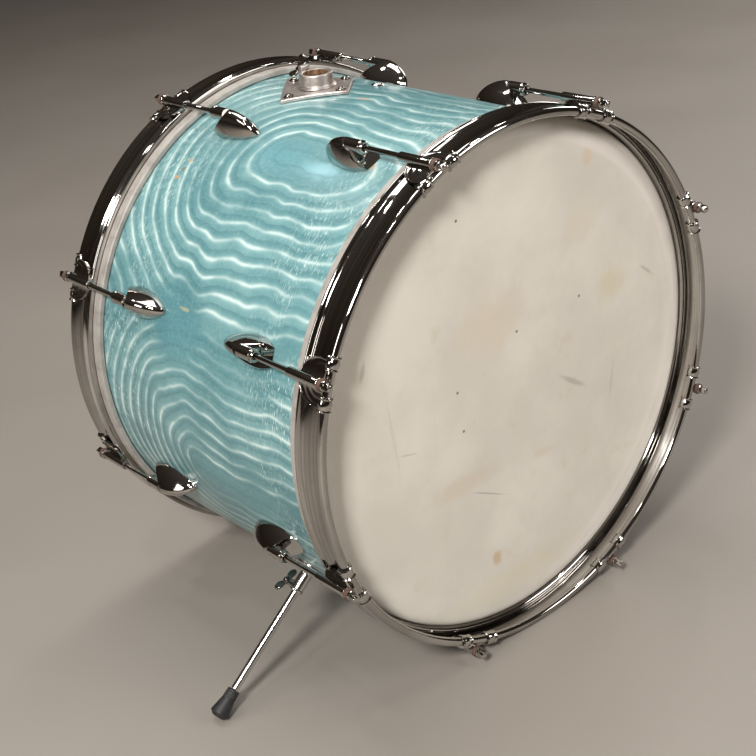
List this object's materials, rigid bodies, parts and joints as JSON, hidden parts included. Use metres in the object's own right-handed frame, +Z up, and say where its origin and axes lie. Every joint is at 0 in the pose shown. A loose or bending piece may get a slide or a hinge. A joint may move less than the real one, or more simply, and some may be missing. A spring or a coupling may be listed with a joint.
{
  "type": "bass drum",
  "caption": "Bass drum on two sliding spurs, with chrome hoops, tear-shaped lugs, claw-hooked tension rods, an aqua wrapped shell and a diamond tom mount.",
  "frame": {"origin": "on the surface that the drum stands on, below the middle of its overall box", "axes": "+Z is up. The drum's axis runs along Y and the front head faces -Y. +X is to the right as seen from the front, and the tom mount is on top, nearer to the back."},
  "size_m": [0.6684, 0.43, 0.5385],
  "materials": {
    "aqua_wrap": "glossy aqua wrap with pale wavy contour lines over a wooden shell",
    "head_film": "stained cream plastic film with a satin metal flesh hoop",
    "hoop_chrome": "polished chrome plate, lightly tarnished",
    "lug_chrome": "polished chrome plate on a die casting",
    "claw_chrome": "polished chrome plate, lightly pitted",
    "rod_chrome": "polished chrome plate with a red-brown fibre washer",
    "cast_mount": "satin cast metal with a bright bevelled edge",
    "wing_screw": "chrome plate",
    "grommet": "chrome plate",
    "spur_bracket": "chrome plate with a darker wing screw",
    "spur_leg": "bright chrome rod with a black rubber foot"
  },
  "bodies": {
    "drum": {"shell": "aqua_wrap", "front_head": "head_film", "back_head": "head_film", "front_hoop": "hoop_chrome", "back_hoop": "hoop_chrome", "front_lug_1": "lug_chrome", "front_lug_2": "lug_chrome", "front_lug_3": "lug_chrome", "front_lug_4": "lug_chrome", "front_lug_5": "lug_chrome", "front_lug_6": "lug_chrome", "front_lug_7": "lug_chrome", "front_lug_8": "lug_chrome", "back_lug_1": "lug_chrome", "back_lug_2": "lug_chrome", "back_lug_3": "lug_chrome", "back_lug_4": "lug_chrome", "back_lug_5": "lug_chrome", "back_lug_6": "lug_chrome", "back_lug_7": "lug_chrome", "back_lug_8": "lug_chrome", "front_claw_1": "claw_chrome", "front_claw_2": "claw_chrome", "front_claw_3": "claw_chrome", "front_claw_4": "claw_chrome", "front_claw_5": "claw_chrome", "front_claw_6": "claw_chrome", "front_claw_7": "claw_chrome", "front_claw_8": "claw_chrome", "back_claw_1": "claw_chrome", "back_claw_2": "claw_chrome", "back_claw_3": "claw_chrome", "back_claw_4": "claw_chrome", "back_claw_5": "claw_chrome", "back_claw_6": "claw_chrome", "back_claw_7": "claw_chrome", "back_claw_8": "claw_chrome", "tom_mount_base": "cast_mount", "vent_grommet": "grommet", "left_spur_bracket": "spur_bracket", "right_spur_bracket": "spur_bracket"},
    "front_tension_rod_1": {"front_tension_rod_1": "rod_chrome"},
    "front_tension_rod_2": {"front_tension_rod_2": "rod_chrome"},
    "front_tension_rod_3": {"front_tension_rod_3": "rod_chrome"},
    "front_tension_rod_4": {"front_tension_rod_4": "rod_chrome"},
    "front_tension_rod_5": {"front_tension_rod_5": "rod_chrome"},
    "front_tension_rod_6": {"front_tension_rod_6": "rod_chrome"},
    "front_tension_rod_7": {"front_tension_rod_7": "rod_chrome"},
    "front_tension_rod_8": {"front_tension_rod_8": "rod_chrome"},
    "back_tension_rod_1": {"back_tension_rod_1": "rod_chrome"},
    "back_tension_rod_2": {"back_tension_rod_2": "rod_chrome"},
    "back_tension_rod_3": {"back_tension_rod_3": "rod_chrome"},
    "back_tension_rod_4": {"back_tension_rod_4": "rod_chrome"},
    "back_tension_rod_5": {"back_tension_rod_5": "rod_chrome"},
    "back_tension_rod_6": {"back_tension_rod_6": "rod_chrome"},
    "back_tension_rod_7": {"back_tension_rod_7": "rod_chrome"},
    "back_tension_rod_8": {"back_tension_rod_8": "rod_chrome"},
    "tom_mount_wing_screw": {"tom_mount_wing_screw": "wing_screw"},
    "left_spur_leg": {"left_spur_leg": "spur_leg"},
    "right_spur_leg": {"right_spur_leg": "spur_leg"}
  },
  "joints": [
    {"name": "front_tension_rod_1_turn", "type": "hinge", "parent": "drum", "child": "front_tension_rod_1", "pos_m": [0.10333, -0.204, 0.51313], "axis": [0, 1, 0], "continuous": true},
    {"name": "front_tension_rod_2_turn", "type": "hinge", "parent": "drum", "child": "front_tension_rod_2", "pos_m": [0.24945, -0.204, 0.36701], "axis": [0, 1, 0], "continuous": true},
    {"name": "front_tension_rod_3_turn", "type": "hinge", "parent": "drum", "child": "front_tension_rod_3", "pos_m": [0.24945, -0.204, 0.16036], "axis": [0, 1, 0], "continuous": true},
    {"name": "front_tension_rod_4_turn", "type": "hinge", "parent": "drum", "child": "front_tension_rod_4", "pos_m": [0.10333, -0.204, 0.01423], "axis": [0, 1, 0], "continuous": true},
    {"name": "front_tension_rod_5_turn", "type": "hinge", "parent": "drum", "child": "front_tension_rod_5", "pos_m": [-0.10333, -0.204, 0.01423], "axis": [0, 1, 0], "continuous": true},
    {"name": "front_tension_rod_6_turn", "type": "hinge", "parent": "drum", "child": "front_tension_rod_6", "pos_m": [-0.24945, -0.204, 0.16036], "axis": [0, 1, 0], "continuous": true},
    {"name": "front_tension_rod_7_turn", "type": "hinge", "parent": "drum", "child": "front_tension_rod_7", "pos_m": [-0.24945, -0.204, 0.36701], "axis": [0, 1, 0], "continuous": true},
    {"name": "front_tension_rod_8_turn", "type": "hinge", "parent": "drum", "child": "front_tension_rod_8", "pos_m": [-0.10333, -0.204, 0.51313], "axis": [0, 1, 0], "continuous": true},
    {"name": "back_tension_rod_1_turn", "type": "hinge", "parent": "drum", "child": "back_tension_rod_1", "pos_m": [0.10333, 0.204, 0.51313], "axis": [0, 1, 0], "continuous": true},
    {"name": "back_tension_rod_2_turn", "type": "hinge", "parent": "drum", "child": "back_tension_rod_2", "pos_m": [0.24945, 0.204, 0.36701], "axis": [0, 1, 0], "continuous": true},
    {"name": "back_tension_rod_3_turn", "type": "hinge", "parent": "drum", "child": "back_tension_rod_3", "pos_m": [0.24945, 0.204, 0.16036], "axis": [0, 1, 0], "continuous": true},
    {"name": "back_tension_rod_4_turn", "type": "hinge", "parent": "drum", "child": "back_tension_rod_4", "pos_m": [0.10333, 0.204, 0.01423], "axis": [0, 1, 0], "continuous": true},
    {"name": "back_tension_rod_5_turn", "type": "hinge", "parent": "drum", "child": "back_tension_rod_5", "pos_m": [-0.10333, 0.204, 0.01423], "axis": [0, 1, 0], "continuous": true},
    {"name": "back_tension_rod_6_turn", "type": "hinge", "parent": "drum", "child": "back_tension_rod_6", "pos_m": [-0.24945, 0.204, 0.16036], "axis": [0, 1, 0], "continuous": true},
    {"name": "back_tension_rod_7_turn", "type": "hinge", "parent": "drum", "child": "back_tension_rod_7", "pos_m": [-0.24945, 0.204, 0.36701], "axis": [0, 1, 0], "continuous": true},
    {"name": "back_tension_rod_8_turn", "type": "hinge", "parent": "drum", "child": "back_tension_rod_8", "pos_m": [-0.10333, 0.204, 0.51313], "axis": [0, 1, 0], "continuous": true},
    {"name": "tom_mount_wing_screw_turn", "type": "hinge", "parent": "drum", "child": "tom_mount_wing_screw", "pos_m": [0, 0.077, 0.53168], "axis": [0, 1, 0], "continuous": true},
    {"name": "left_spur_slide", "type": "slide", "parent": "drum", "child": "left_spur_leg", "axis": [-0.788, 0, -0.6157], "range_m": [-0.1, 0.03]},
    {"name": "right_spur_slide", "type": "slide", "parent": "drum", "child": "right_spur_leg", "axis": [0.788, 0, -0.6157], "range_m": [-0.1, 0.03]}
  ]
}
